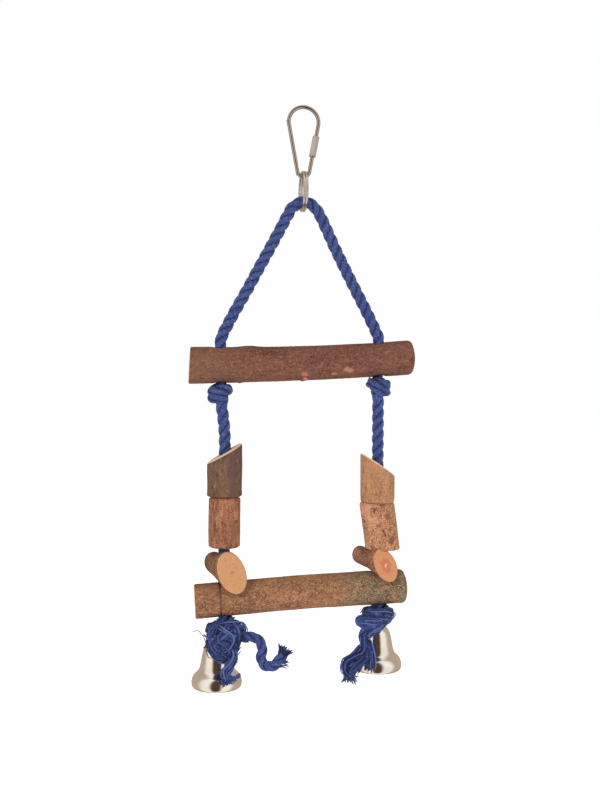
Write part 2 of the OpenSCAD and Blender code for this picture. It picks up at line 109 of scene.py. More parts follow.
class Nodes:
    """The nodes of one material, or of the world, and the socket that they end in."""

    def __init__(self, owner, last):
        owner.use_nodes = True
        self.tree = owner.node_tree
        self.tree.nodes.clear()
        self.end = self.tree.nodes.new(last).inputs[0]

    def feed(self, socket, value):
        if isinstance(value, Level):
            self.tree.links.new(value.link, socket)
        else:
            socket.default_value = value

    def node(self, kind, settings, sockets, output=0):
        made = self.tree.nodes.new(kind)
        for key, value in settings.items():
            setattr(made, key, value)
        for key, value in sockets.items():
            self.feed(made.inputs[key], value)
        return Level(self, made.outputs[output])

    def between(self, value, low, high):
        """0 below low, 1 above high, and smooth between them."""
        return self.node("ShaderNodeMapRange", {"interpolation_type": "SMOOTHSTEP"},
                         {0: value, 1: low, 2: high, 3: 0.0, 4: 1.0})

    def mix(self, mask, a, b):
        return self.node("ShaderNodeMix", {"data_type": "RGBA"}, {0: mask, 6: a, 7: b}, 2)


class Finish(Nodes):
    """One procedural finish: a Principled shader and the nodes that feed it."""

    def __init__(self, name, **sockets):
        self.material = bpy.data.materials.new(name)
        super().__init__(self.material, "ShaderNodeOutputMaterial")
        self.shader = self.tree.nodes.new("ShaderNodeBsdfPrincipled")
        self.tree.links.new(self.shader.outputs[0], self.end)
        self.paint(**sockets)

    def paint(self, **sockets):
        for key, value in sockets.items():
            self.feed(self.shader.inputs[key.replace("_", " ")], value)

    def place(self):
        return self.node("ShaderNodeTexCoord", {}, {}, 3)

    def stretched(self, factors, shift=(0, 0, 0)):
        moved = self.node("ShaderNodeVectorMath", {"operation": "ADD"},
                          {0: self.place(), 1: shift})
        return self.node("ShaderNodeVectorMath", {"operation": "MULTIPLY"},
                         {0: moved, 1: factors})

    def noise(self, vector, scale, detail=3.0, roughness=0.5):
        return self.node("ShaderNodeTexNoise", {},
                         {"Vector": vector, "Scale": scale, "Detail": detail,
                          "Roughness": roughness})

    def bump(self, height, strength, distance):
        return self.node("ShaderNodeBump", {},
                         {"Strength": strength, "Distance": distance, "Height": height})


class Shape:
    """Points and faces gathered for one piece, with a depth, which the cotton paints as shade and
    highlight, and a face group for its finish.
    """

    def __init__(self):
        self.points = []
        self.faces = []
        self.depth = []
        self.groups = []
        self.count = 0

    def add(self, points, faces, depth=1.0, groups=0):
        points = np.asarray(points, float).reshape(-1, 3)
        self.points.append(points)
        self.depth.append(np.broadcast_to(np.asarray(depth, float), (len(points),)))
        self.faces += [tuple(i + self.count for i in face) for face in faces]
        self.groups += np.broadcast_to(groups, (len(faces),)).tolist()
        self.count += len(points)

    def piece(self, name, finishes, body, smooth=True):
        mesh = bpy.data.meshes.new(name)
        mesh.from_pydata(np.concatenate(self.points).tolist(), [], self.faces)
        for finish in finishes:
            mesh.materials.append(finish.material)
        mesh.polygons.foreach_set("material_index", self.groups)
        mesh.polygons.foreach_set("use_smooth", [smooth] * len(self.faces))
        depth = mesh.attributes.new("depth", "FLOAT", "POINT")
        depth.data.foreach_set("value", np.concatenate(self.depth).astype(np.float32))
        mesh.update()
        made = bpy.data.objects.new(name, mesh)
        bpy.context.scene.collection.objects.link(made)
        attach(made, body)
        return made


def along(path):
    """The distance run at each point of a path."""
    return np.concatenate([[0], np.cumsum(np.linalg.norm(np.diff(path, axis=0), axis=1))])


def eased(points, spacing=0.0007):
    """Evenly spaced points on the smooth curve through points given in millimetres."""
    p = np.asarray(points, float) / 1000
    p = np.concatenate([[2 * p[0] - p[1]], p, [2 * p[-1] - p[-2]]])
    out = []
    for a, b, c, d in zip(p[:-3], p[1:-2], p[2:-1], p[3:]):
        for t in np.linspace(0, 1, 24, endpoint=False):
            out.append(0.5 * (2 * b + (c - a) * t + (2 * a - 5 * b + 4 * c - d) * t * t
                              + (3 * b - a - 3 * c + d) * t ** 3))
    out.append(p[-2])
    out = np.array(out)
    run = along(out)
    even = np.linspace(0, run[-1], max(3, int(round(run[-1] / spacing)) + 1))
    return np.stack([np.interp(even, run, out[:, k]) for k in range(3)], 1)


def carried(path):
    """For each point of a path, two directions square to it, carried along without twist."""
    heading = np.gradient(path, axis=0)
    heading /= np.linalg.norm(heading, axis=1)[:, None]
    side = np.cross(heading[0], (0.31, 0.87, 0.38))
    sides = []
    for ray in heading:
        side = side - ray * (side @ ray)
        side = side / np.linalg.norm(side)
        sides.append(side)
    sides = np.array(sides)
    return sides, np.cross(heading, sides)


def skin(rows, around, ring=False):
    """The faces between rows of points that each run once round a piece.

    A flat face closes each end, or else the last row is joined to the first one in a ring."""
    faces = []
    for i in range(rows if ring else rows - 1):
        j = (i + 1) % rows
        for k in range(around):
            n = (k + 1) % around
            faces.append((i * around + k, i * around + n, j * around + n, j * around + k))
    if not ring:
        faces.append(tuple(range(around - 1, -1, -1)))
        faces.append(tuple((rows - 1) * around + k for k in range(around)))
    return faces


def tube(shape, path, radius, sides, depth=1.0, ridges=0, wind=0.0, swell=0.0):
    """A closed tube along a path, whose surface can be ridged by the yarns that wind round it."""
    side, over = carried(path)
    turn = np.arange(sides) * 2 * math.pi / sides
    reach = np.broadcast_to(np.asarray(radius, float), (len(path),))[:, None]
    reach = reach * (1 + swell * np.cos(ridges * (turn + wind * along(path)[:, None])))
    points = (path[:, None, :] + reach[:, :, None]
              * (np.cos(turn)[None, :, None] * side[:, None, :]
                 + np.sin(turn)[None, :, None] * over[:, None, :]))
    shade = depth(points).reshape(-1) if callable(depth) else depth
    shape.add(points, skin(len(path), sides), shade)


lay = 0.0198          # way in which a strand runs once round the rope
loose_yarn = 0.00048  # radius of a yarn of an opened strand
cut_yarn = 0.00042    # radius of a yarn in a frayed tuft


def rope(shape, path, radius, start=0.0, loosen=0.0, shade=1.0):
    """Three strands laid round a path; loosen opens them towards the end of the path, and shade
    scales their depth, the painted shade that darkens the grooves and the whole rope.
    """
    side, over = carried(path)
    run = along(path)
    offset = radius * (0.45 + loosen * (run / run[-1]) ** 3)

    # Depth for painted shade in the cotton's colour: 0 in the grooves between the strands, up to
    # shade on their crowns.
    def from_line(points):
        away = np.linalg.norm(points - path[:, None, :], axis=2) / radius
        return shade * np.clip((away - 0.7) / 0.3, 0, 1)

    for strand in range(3):
        angle = start + 2 * math.pi * (run / lay + strand / 3)
        line = path + offset[:, None] * (np.cos(angle)[:, None] * side
                                         + np.sin(angle)[:, None] * over)
        tube(shape, line, radius * 0.56, 20, depth=from_line, ridges=7, wind=-420, swell=0.035)


def yarn(shape, points, radius, shade):
    """One thin yarn through points in millimetres, thinning to its end; shade is its depth, painted
    as shade when low and as highlight above 1.
    """
    path = eased(points, 0.0009)
    thin = radius * (1 - 0.45 * np.linspace(0, 1, len(path)) ** 3)
    tube(shape, path, thin, 6, shade)


def bundle(shape, seed, points, count, wide):
    """Yarns of an opened strand, side by side along points in millimetres."""
    chance = random.Random(seed)
    points = np.asarray(points, float)
    for _ in range(count):
        offset = np.array([chance.gauss(0, 0.5), chance.gauss(0, 0.35), chance.gauss(0, 0.5)])
        drift = np.array([chance.gauss(0, 0.3), chance.gauss(0, 0.2), chance.gauss(0, 0.3)])
        steps = [point + wide * (offset + drift * k / len(points))
                 for k, point in enumerate(points)]
        # Painted light: each yarn gets a depth of 0.1 or 0.5 for painted shade, 1, or 1.5 for a
        # painted highlight.
        yarn(shape, steps, loose_yarn * chance.uniform(0.8, 1.15),
             chance.choice((0.1, 0.5, 1, 1.5)))


def fray(shape, seed, end, aim, spread, reach, count):
    """A tuft of yarns that leave the end of a rope and spread round the direction aim."""
    chance = random.Random(seed)
    end = np.array(end, float)
    aim = np.array(aim, float) / np.linalg.norm(aim)
    side = np.cross(aim, (0.2, 0.9, 0.3))
    side /= np.linalg.norm(side)
    over = np.cross(aim, side)
    for _ in range(count):
        turn = chance.uniform(0, 2 * math.pi)
        out = math.sqrt(chance.random())
        ray = math.cos(turn) * side + math.sin(turn) * over
        curl = chance.uniform(-0.5, 0.5) * side + chance.uniform(-0.5, 0.5) * over
        long = reach * chance.uniform(0.65, 1.1)
        root = end - aim * 2.5 + ray * out * 2.4
        # Painted shade: each yarn of the tuft gets a depth from 0.25 to 1, and the darker ones
        # stand for shade between the yarns.
        yarn(shape, [root,
                     end + aim * long * 0.3 + ray * (out * 2.5 + spread * out * 0.4),
                     end + aim * long * 0.7 + ray * (out * 2.5 + spread * out) + curl,
                     end + aim * long * (1 - 0.2 * out) + ray * (out * 2.4 + spread * out * 1.4)
                     + 2.2 * curl],
             cut_yarn, chance.uniform(0.25, 1.0))


cotton = Finish("blue_cotton", Roughness=0.85, Specular_IOR_Level=0.2, Sheen_Weight=0.08,
                Sheen_Roughness=0.6)
# depth carries painted shade and highlight. It is set where the ropes and yarns are built.
depth = cotton.node("ShaderNodeAttribute", {"attribute_name": "depth"}, {}, 2)
fleck = cotton.noise(cotton.place(), 1050.0, 3.0, 0.6)
cloud = cotton.noise(cotton.place(), 130.0, 2.0)
# Painted shade: where depth is low, in the grooves between the strands and in the inner knot ropes,
# the colour turns dark blue. The flecks vary the yarn's own tone.
dye_and_painted_light = cotton.mix(cotton.between(depth + (fleck - 0.5) * 2.2, 0.0, 1.1),
                  linear(15, 22, 58), linear(54, 69, 120))
# Painted highlight: pale flecks on the strands' crowns, where depth is high.
dye_and_painted_light = cotton.mix(cotton.between(fleck, 0.54, 0.68) * depth * 0.8, dye_and_painted_light, linear(98, 111, 158))
dye_and_painted_light = cotton.mix(cotton.between(cloud, 0.35, 0.75) * 0.4, dye_and_painted_light, linear(40, 52, 108))
# Painted highlight on the yarns whose depth is above 1.
dye_and_painted_light = cotton.mix(cotton.between(depth, 1.05, 1.5) * 0.6, dye_and_painted_light, linear(92, 107, 162))
cotton.paint(Base_Color=dye_and_painted_light, Normal=cotton.bump(fleck, 0.6, 0.0006))

left_tail_route = [
    (-41, -4, -322), (-37.6, -5, -324), (-34, -6, -324.8), (-29.8, -6.6, -325),
    (-26.4, -7, -327.6), (-24.8, -7.2, -332), (-25.6, -7.4, -337), (-24.2, -7.6, -341.2),
    (-20, -7.6, -343), (-15.6, -7.4, -340.8), (-12.2, -7, -335.8)]
right_tail_route = [
    (43, -6, -316.4), (39.6, -8, -320.6), (37.9, -9, -324.3), (37.5, -9.8, -328),
    (38.6, -10.4, -332), (38.6, -10.8, -336), (35.4, -11, -339), (31.2, -11, -341),
    (28.2, -11, -344.8), (27.8, -11, -349.6)]
tail_width = 0.0064

left_path = eased(left_tail_route, 0.0006)
shape = Shape()
rope(shape, left_path, tail_width / 2, 0.6, 0.1)
left_tail = shape.piece("left_tail_rope", [cotton], "lower")
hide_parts("left_tail")
shape = Shape()
fray(shape, 3, left_tail_route[-1], (0.45, 0.0, 1.0), 2.6, 5.0, 46)
fray(shape, 4, left_tail_route[-2], (1.0, -0.1, 0.35), 2.0, 7.0, 26)
left_fray = shape.piece("left_tail_fray", [cotton], "lower")

right_path = eased(right_tail_route, 0.0006)
shape = Shape()
rope(shape, right_path, tail_width / 2, 2.1, 0.12)
right_tail = shape.piece("right_tail_rope", [cotton], "lower")
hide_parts("right_tail")
shape = Shape()
fray(shape, 7, right_tail_route[-1], (0.25, 0.0, -1.0), 2.2, 3.0, 40)
for number, points in enumerate((
        [(36.6, -13, -325), (36, -14, -334), (30.6, -14.6, -337), (25, -14.4, -340.6),
         (24.6, -14.4, -346), (28.4, -14, -350.4)],
        [(38.4, -13, -328), (37, -14.4, -338), (32.4, -15, -342.4), (29.2, -14.8, -347),
         (31, -14.4, -351.4)],
        [(38.8, -13, -328), (38.6, -14.4, -337), (35, -14.8, -341.4), (33.4, -14.6, -345.6)],
        [(39.4, -12.6, -329), (40.4, -13.4, -336), (39.4, -13.6, -341), (39, -13.4, -344.6)],
        [(39.8, -12.6, -329), (41.8, -13, -336), (42.2, -13, -341), (41.6, -13, -345)],
        [(36.6, -12, -331), (31, -13, -336.4), (26, -13, -339.4), (25.4, -13, -345),
         (27.6, -13, -349.4)])):
    bundle(shape, 9 + number, points, 20, 1.9)
right_fray = shape.piece("right_tail_fray", [cotton], "lower")


# Quick link: a pear-shaped link bent from nickel-plated steel wire. Its two ends face each other
# in the right side, where a six-sided sleeve is screwed over them.
def dimmed(colour, share):
    """A colour darkened to a share of its light."""
    return tuple(c * share for c in colour[:3]) + (1.0,)


def nickel_finish(name, colour, rough):
    """Polished nickel with faint draw marks and a little wear."""
    finish = Finish(name, Metallic=1.0)
    marks = finish.noise(finish.stretched((1.0, 1.0, 0.15)), 900.0, 3.0)
    wear = finish.noise(finish.place(), 160.0, 2.0)
    worn = finish.mix(finish.between(wear, 0.35, 0.8) * 0.5, colour, dimmed(colour, 0.72))
    finish.paint(Base_Color=worn, Roughness=rough + wear * 0.1 + marks * 0.04)
    return finish


def bow(height, bend, start, end, count):
    """Points of a bend in the plane of the link, from one angle in degrees to another."""
    turns = [math.radians(start + (end - start) * i / count) for i in range(count + 1)]
    return [(bend * math.cos(turn), 0, height + bend * math.sin(turn)) for turn in turns]


nickel = nickel_finish("nickel_wire", linear(190, 178, 166), 0.14)
wire_r = 1.2
wide_r, wide_z = 9.3, -8.1
foot_r, foot_z = 3.8, -38.2
slope = math.asin((wide_r - foot_r) / (wide_z - foot_z))
leans = math.degrees(slope)
right_top = np.array([wide_r * math.cos(slope), 0, wide_z - wide_r * math.sin(slope)])
right_down = np.array([-math.sin(slope), 0, -math.cos(slope)])
gap_top, gap_foot, side_foot = 9.4, 14.8, 20
link_line = [right_top + gap_foot * right_down, right_top + side_foot * right_down]
link_line += bow(foot_z, foot_r, 360 - leans, 180 + leans, 14)
link_line += bow(wide_z, wide_r, 180 + leans, -leans, 22)
link_line += [right_top + gap_top * right_down]
shape = Shape()
tube(shape, eased(link_line, 0.0006), wire_r / 1000, 24)
link = shape.piece("link_wire", [nickel], "link")
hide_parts("quick_link")

sleeve_nickel = nickel_finish("nickel_sleeve", linear(192, 180, 170), 0.2)
half_flats = 2
sleeve_start = 7
sleeve_long = 13
sleeve_bore = 1.26
corner_r = half_flats / math.cos(math.radians(30))
edge = [(0, sleeve_bore), (0, corner_r - 0.5), (0.3, corner_r - 0.1), (0.6, corner_r)]
outline = edge + [(sleeve_long / 2, corner_r)]
outline += [(sleeve_long - z, r) for z, r in reversed(edge)] + [(sleeve_long / 2, sleeve_bore)]
around = 72
forward = np.array([0, 1, 0])
square = np.cross(right_down, forward)
points = []
for z, r in outline:
    for k in range(around):
        turn = 2 * math.pi * k / around
        flat = half_flats / math.cos((turn + math.pi / 6) % (math.pi / 3) - math.pi / 6)
        points.append((right_top + right_down * (sleeve_start + z)
                       + min(r, flat) * (math.cos(turn) * square + math.sin(turn) * forward))
                      / 1000)
shape = Shape()
shape.add(points, [face[::-1] for face in skin(len(outline), around, ring=True)])
sleeve = shape.piece("sleeve_hexagon", [sleeve_nickel], "sleeve", smooth=False)
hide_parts("link_sleeve")


# Split ring: a key ring of two turns of spring wire, sprung apart a little so that it can be
# threaded. It joins the link to the rope and is seen almost from its edge.
ring_nickel = nickel_finish("nickel_ring", linear(226, 216, 204), 0.16)
ring_z = -51.15
ring_r = 11.75
ring_wire_r = 0.75
sprung = 0.81
line = []
for turn in range(-38, 658, 5):
    crossing = max(-1, min(1, (turn - 310) / 12))
    line.append((sprung * math.sin(math.radians(90 * crossing)),
                 ring_r * math.cos(math.radians(turn)),
                 ring_z + ring_r * math.sin(math.radians(turn))))
shape = Shape()
tube(shape, eased(line), ring_wire_r / 1000, 20)
ring = shape.piece("ring_turns", [ring_nickel], "ring")
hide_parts("split_ring")


# Upper rope: one length of three-strand cotton, folded over the ring, led down through the upper
# perch at both sides and knotted under it. The right leg bows out a little.
rope_r = 0.0037
upper_knot_r = 0.0033
leg_left_x, leg_right_x = -51, 48.5
hanger_line = [
    (-51, 0, -165), (-51, 0, -150), (-50.8, 0, -146), (-50, 0, -142), (-48.1, 0, -137.7),
    (-41.6, 0, -125.3), (-34.6, 0, -112.9), (-28, 0, -100.5), (-21.2, 0, -88), (-14.6, 0, -75.6),
    (-10, 0, -66.8), (-6.4, 0, -60.9), (0, 0, -57.7), (6.2, 0, -59.9), (10.4, 0, -65.4),
    (14.9, 0, -74.5), (20.6, 0, -86.8), (26.8, 0, -99.1), (33.2, 0, -111.5), (39.8, 0, -123.9),
    (45.6, 0, -135.6), (47.8, 0, -140.8), (48.4, 0, -145.4), (48.5, 0, -150), (48.5, 0, -163)]
shape = Shape()
rope(shape, eased(hanger_line), rope_r)
hanger = shape.piece("hanger_rope_strands", [cotton], "upper")
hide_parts("hanger_rope")

for name, x, z, hand, leave in (("left", leg_left_x, -176.0, 1, 1.6),
                                ("right", leg_right_x, -171.4, -1, -0.5)):
    turns = []
    for i in range(31):
        part = i / 30
        turn = math.radians(70 + 640 * part)
        reach = 1.2 + 3.8 * math.sin(math.pi * min(1, 0.12 + part * 0.86)) ** 0.5
        turns.append((x + reach * math.cos(turn) * hand,
                      reach * math.sin(turn),
                      z + 3.6 - 7.4 * part + 1.5 * math.cos(turn)))
    shape = Shape()
    rope(shape, eased([(x, 0, z + 8)] + turns + [(x + leave, 0, z - 9)]), upper_knot_r, 0.4)
    knot = shape.piece(name + "_upper_knot_strands", [cotton], "upper")
    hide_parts("upper_knot_" + name)


# Upper perch: a length of natural branch, sawn square at the left and rounded over at the right.
# Its thin bark is reddish brown with fine lengthwise cracks, pale chips and a healed side shoot.
def rough(seed, count, low, high):
    """A smooth random surface: waves of several lengths, summed."""
    chance = np.random.default_rng(seed)
    waves = chance.uniform(low, high, (count, 3)) * chance.choice((-1, 1), (count, 3))
    shifts = chance.uniform(0, 2 * math.pi, count)
    sizes = 1 / np.linalg.norm(waves, axis=1)

    def height(p):
        return (np.sin(p @ waves.T + shifts) * sizes).sum(-1) / sizes.sum() * 3
    return height


def lumps(seed, turn):
    """The wide lumps and the fine ridges of bark, round a branch at a distance along it."""
    wide = rough(seed, 24, 0.6, 3.0)
    fine = rough(seed + 1, 60, 6.0, 22.0)

    def at(far):
        spot = np.stack([np.full(len(turn), far / 10), np.cos(turn), np.sin(turn)], 1)
        return wide(spot), fine(spot * np.array([1.6, 2.4, 2.4]))
    return at


def eased_edge(near, ease):
    """How far an edge that is eased over a width stands in, at the distance near from it."""
    if near >= ease:
        return 0.0
    return ease * (1 - math.sqrt(max(0, 1 - (1 - near / ease) ** 2)))


def branch(shape, start, end, radius, seed, ends, lump, crack, cuts=None, sag=0.0, knobs=(),
           oval=None):
    """A length of branch from start to end, in millimetres, with bark round it and sawn ends.

    radius(t) is its radius at the share t of its length, ends are the widths by which its edges
    are eased, and cuts gives for each end how far the cut stands in along the branch. sag bows it
    down in the middle, knobs are (along, angle, height, width), and oval(t) reshapes a section."""
    length = np.linalg.norm(end - start)
    axis = (end - start) / length
    side = np.cross(axis, (0.0, 1.0, 0.0) if abs(axis[1]) < 0.7 else (0.0, 0.0, 1.0))
    side /= np.linalg.norm(side)
    over = np.cross(axis, side)
    around = 120
    turn = np.arange(around) * 2 * math.pi / around
    circle = np.cos(turn)[:, None] * side + np.sin(turn)[:, None] * over
    bark_at = lumps(seed, turn)
    steps = max(12, int(length / 0.9))
    insets = (0.18, 0.4, 0.62, 0.8, 0.92)
    stations = [(0.0, s, 1) for s in insets]
    stations += [(i / steps, 1.0, 0) for i in range(steps + 1)]
    stations += [(1.0, s, 2) for s in reversed(insets)]
    rows = []
    for t, s, face in stations:
        far = t * length
        wide, fine = bark_at(far)
        r = radius(t) * (1 + lump * wide)
        for where, angle, tall, spread in knobs:
            swept = (turn - angle + math.pi) % (2 * math.pi) - math.pi
            r = r + tall * np.exp(-((far - where) ** 2 + (r * swept) ** 2) / spread ** 2)
        if face:
            r = (r - ends[face - 1]) * s
        else:
            r = r + crack * fine - eased_edge(far, ends[0]) - eased_edge(length - far, ends[1])
        flat = circle * r[:, None]
        if oval is not None:
            flat = flat @ oval(t).T
        row = start + axis * far + flat
        if cuts is not None:
            first, last = cuts(flat)
            row = row + axis * (first * (1 - t) + last * t)[:, None]
        row[:, 2] -= sag * math.sin(math.pi * t)
        rows.append(row)
    count = len(rows)
    sawn = [i < len(insets) or i >= count - 1 - len(insets) for i in range(count - 1)]
    groups = np.repeat(sawn, around).astype(int).tolist() + [1, 1]
    shape.add(np.concatenate(rows) / 1000, skin(count, around), groups=groups)


bore_r = 4.5          # radius of every hole for the rope, in millimetres
drill_reach = 40      # how far the drill goes to each side of a hole's middle


def bored(piece, direction, *places):
    """Cuts rope holes through places given in millimetres, along one direction."""
    ray = np.array(Vector(direction).normalized())
    for place in places:
        middle = np.array(place, float)
        shape = Shape()
        line = np.array([middle + step * drill_reach * ray for step in (-1, 0, 1)])
        tube(shape, line / 1000, bore_r / 1000, 40)
        mesh = bpy.data.meshes.new("drill")
        mesh.from_pydata(np.concatenate(shape.points).tolist(), [], shape.faces)
        for material in piece.data.materials:
            mesh.materials.append(material)
        mesh.polygons.foreach_set("material_index", [1] * len(shape.faces))
        drill = bpy.data.objects.new("drill", mesh)
        bpy.context.scene.collection.objects.link(drill)
        cut = piece.modifiers.new("bore", "BOOLEAN")
        cut.operation = "DIFFERENCE"
        cut.solver = "EXACT"
        cut.object = drill
        view = bpy.context.evaluated_depsgraph_get()
        cut_mesh = bpy.data.meshes.new_from_object(piece.evaluated_get(view))
        piece.modifiers.clear()
        piece.data = cut_mesh
        bpy.data.objects.remove(drill)


def bark_finish(name, dark, middle, light, grain, specks, crack, rough_by=0.8, moss=None,
                scars=()):
    """Thin bark: faint clouds, cracks along the branch, fine specks, and scars at given places."""
    finish = Finish(name, Specular_IOR_Level=0.2)
    run = finish.stretched(grain)
    clouds = finish.noise(run, 90.0, 3.0, 0.6)
    lines = finish.noise(run, 520.0, 4.0, 0.7)
    fine = finish.noise(finish.place(), 1150.0, 3.0, 0.65)
    grit = finish.noise(finish.stretched((1, 1, 1), (0.4, 0.1, 0.2)), 1700.0, 2.0, 0.6)
    colour = finish.mix(finish.between(clouds * 0.5 + fine * 0.5, 0.36, 0.6), dark, middle)
    colour = finish.mix(finish.between(lines, 0.48, 0.78) * 0.55, colour, light)
    shadow = dimmed(dark, 0.4)
    colour = finish.mix(finish.between(lines, 0.41 + 0.06 * crack, 0.32) * crack, colour, shadow)
    colour = finish.mix(finish.between(grit, 0.46, 0.32) * crack * 0.6, colour, shadow)
    few, many, strength = specks
    colour = finish.mix(finish.between(fine, few, many) * strength, colour, light)
    if moss is not None:
        start, end, green, pale, strong = moss
        spot = finish.noise(finish.place(), 260.0, 4.0, 0.7)
        part = finish.node("ShaderNodeSeparateXYZ", {}, {0: finish.place()})
        mask = finish.between(part + (clouds - 0.5) * 0.04, start, end)
        colour = finish.mix(mask * finish.between(spot, 0.3, 0.55) * (0.4 + 0.45 * strong),
                            colour, green)
        colour = finish.mix(mask * finish.between(grit, 0.52, 0.66) * strong, colour, pale)
        colour = finish.mix(mask * finish.between(lines, 0.47, 0.36) * 0.8 * strong, colour,
                            shadow)
    for centre, size, tone in scars:
        off = finish.stretched(tuple(1000 / c for c in size), tuple(-c / 1000 for c in centre))
        reach = finish.node("ShaderNodeVectorMath", {"operation": "LENGTH"}, {0: off}, 1)
        ragged = finish.noise(finish.place(), 420.0, 3.0, 0.7)
        colour = finish.mix(finish.between(reach + (ragged - 0.5) * 2.6, 1.3, 0.5) * 0.8,
                            colour, tone)
    finish.paint(Base_Color=colour, Roughness=rough_by + (lines - 0.5) * 0.15,
                 Normal=finish.bump(lines * 0.6 + fine * 0.4, 0.75, 0.0007))
    return finish


ring_gap = 0.0014     # width of a growth ring
pith_r = 0.0017


def sawn_finish(name, centre, axis, pale, warm, pith, heart=0.0):
    """A sawn face: growth rings round the pith, saw marks, and a warmer heart of that radius."""
    finish = Finish(name, Specular_IOR_Level=0.2)
    away = finish.stretched((1, 1, 1), tuple(-c / 1000 for c in centre))
    flat = finish.node("ShaderNodeVectorMath", {"operation": "CROSS_PRODUCT"},
                       {0: away, 1: axis})
    reach = finish.node("ShaderNodeVectorMath", {"operation": "LENGTH"}, {0: flat}, 1)
    wander = finish.noise(finish.place(), 240.0, 3.0)
    uneven = reach + (wander - 0.5) * 0.005
    rings = finish.node("ShaderNodeMath", {"operation": "SINE"},
                        {0: uneven * (2 * math.pi / ring_gap)})
    grain = finish.noise(finish.place(), 1300.0, 4.0, 0.7)
    clouds = finish.noise(finish.place(), 420.0, 3.0, 0.6)
    colour = finish.mix(finish.between(rings, -0.6, 1.0) * 0.22, pale, warm)
    colour = finish.mix(finish.between(grain, 0.35, 0.75) * 0.4, colour, warm)
    colour = finish.mix(finish.between(clouds, 0.5, 0.75) * 0.5, colour, warm)
    if heart:
        colour = finish.mix(finish.between(uneven, heart, heart * 0.4) * 0.8, colour, warm)
    colour = finish.mix(finish.between(uneven, pith_r, pith_r - 0.001), colour, pith)
    finish.paint(Base_Color=colour, Roughness=0.75 + grain * 0.1,
                 Normal=finish.bump(grain + rings * 0.3, 0.4, 0.0004))
    return finish


def slung(height, rise, half):
    """The direction and both ends of a perch that rises to the right by some degrees."""
    lean = np.array([math.cos(math.radians(rise)), 0, math.sin(math.radians(rise))])
    middle = np.array([0, 0, height])
    return lean, middle - half * lean, middle + half * lean


upper_lean, upper_start, upper_end = slung(-156.4, 2.6, 69.75)
upper_bark = bark_finish(
    "red_brown_bark", linear(84, 50, 40), linear(112, 71, 57), linear(150, 106, 88),
    (0.5, 1.0, 1.0), (0.56, 0.68, 0.7), 0.55,
    moss=(-0.03, -0.06, linear(108, 78, 58), linear(146, 116, 92), 0.35),
    scars=[((27.4, -8.6, -161.4), (3.0, 2.4, 1.6), linear(166, 116, 92)),
           ((19, -8.0, -164.4), (2.2, 2.4, 1.0), linear(166, 112, 88)),
           ((1.2, -5, -168.4), (2.0, 4.0, 1.8), linear(198, 122, 92)),
           ((0.6, -8, -164.6), (2.4, 4.0, 1.6), linear(168, 100, 76)),
           ((-46, -9, -160), (2.2, 3, 1.6), linear(88, 54, 46))])
upper_sawn = sawn_finish("upper_perch_ends", upper_start, tuple(upper_lean),
                         linear(196, 160, 120), linear(164, 122, 86), linear(120, 84, 56))
knob_angle = math.radians(200)
shape = Shape()
branch(shape, upper_start, upper_end,
       lambda t: 11.3 - 0.4 * math.sin(math.pi * t) - 0.5 * t, 11, (0.5, 3.2), 0.02, 0.12,
       lambda flat: (0.09 * flat[:, 2], 0 * flat[:, 2]), 1.2,
       [(70.6, knob_angle, 1.2, 2.2), (31.4, knob_angle, 1.0, 2.0), (63, knob_angle, 0.5, 1.8),
        (36, knob_angle + math.pi, 0.8, 6.0)])
upper_perch = shape.piece("upper_perch_branch", [upper_bark, upper_sawn], "upper")
bored(upper_perch, -np.cross(upper_lean, (0, 1, 0)), (leg_left_x, 0, -158.7),
      (leg_right_x, 0, -154.2))
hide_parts("upper_perch")


def finished(finish, *nodes):
    """Gives a finish to nodes that keep the shape they have in the frame."""
    for node in nodes:
        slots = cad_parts[node].data.materials
        slots.clear()
        slots.append(finish.material)


wire_steel = nickel_finish("wire_steel", linear(128, 112, 98), 0.35)
finished(wire_steel, "knot_wire")


# Lower ropes: straight down from the upper knots through the beads and the lower perch. Under it
# the left rope ends in a large frayed knot, and the right one in a wide flat knot.
left_x, right_x = -47.8, 48.0
left_under, right_under = -313.3, -308.3


def below(x, z, points):
    """Points given from the place where a rope comes out under the lower perch."""
    return [(x + beside, y, z + up) for beside, y, up in points]


def below_left(*points):
    return below(left_x, left_under, points)


def below_right(*points):
    return below(right_x, right_under, points)


shape = Shape()
rope(shape, eased([(left_x - 2.6, 0, -180.6), (left_x - 0.6, 0, -196), (left_x, 0, -208),
                   (left_x, 0, -240), (left_x, 0, -300), (left_x, 0, left_under - 4)]),
     rope_r, 1.0)
# The knot's inner ropes have shade 0.3 and 0.25. This is painted shade, darker as they lie in the
# knot's hollows.
rope(shape, eased(below_left(
    (0, 0, 1), (4, -3, -3), (7.6, -5, -5), (4, -9, -5.6), (-4, -9, -5), (-8.4, -4, -6),
    (-5, 2.2, -7), (4, 2.2, -8), (8.6, -3.6, -9), (5, -9.4, -10.6), (-3, -10.4, -12),
    (-7, -5, -13.4), (-4, 0.6, -16), (2, 0, -18))), 0.0032, 0.2, shade=0.3)
rope(shape, eased(below_left(
    (6, -4, -8), (1, -9, -10), (-6, -8, -14), (-4.4, -7, -18), (2, -7, -17.6), (5.6, -7.4, -13),
    (6.4, -5, -9))), 0.003, 1.4, shade=0.25)
short_end = below_left((3.4, -8.6, -15), (5, -10, -20.4), (3.6, -11, -26), (1, -11.4, -30.4),
                       (0.4, -11.4, -34.6))
rope(shape, eased(short_end), 0.0032, 0.9, 0.12)
fray(shape, 21, short_end[-1], (0.35, 0.0, -1.0), 2.6, 4.6, 48)
bundle(shape, 22, below_left((4, -12, -16), (5.6, -13.6, -21), (3, -14.4, -26),
                             (-0.4, -14.4, -30), (0.4, -13.6, -35)), 22, 2.0)
bundle(shape, 23, below_left((-0.6, -12, -29), (1.4, -14, -32.6), (6.4, -13, -34.4),
                             (8.4, -12, -32.6)), 10, 1.2)
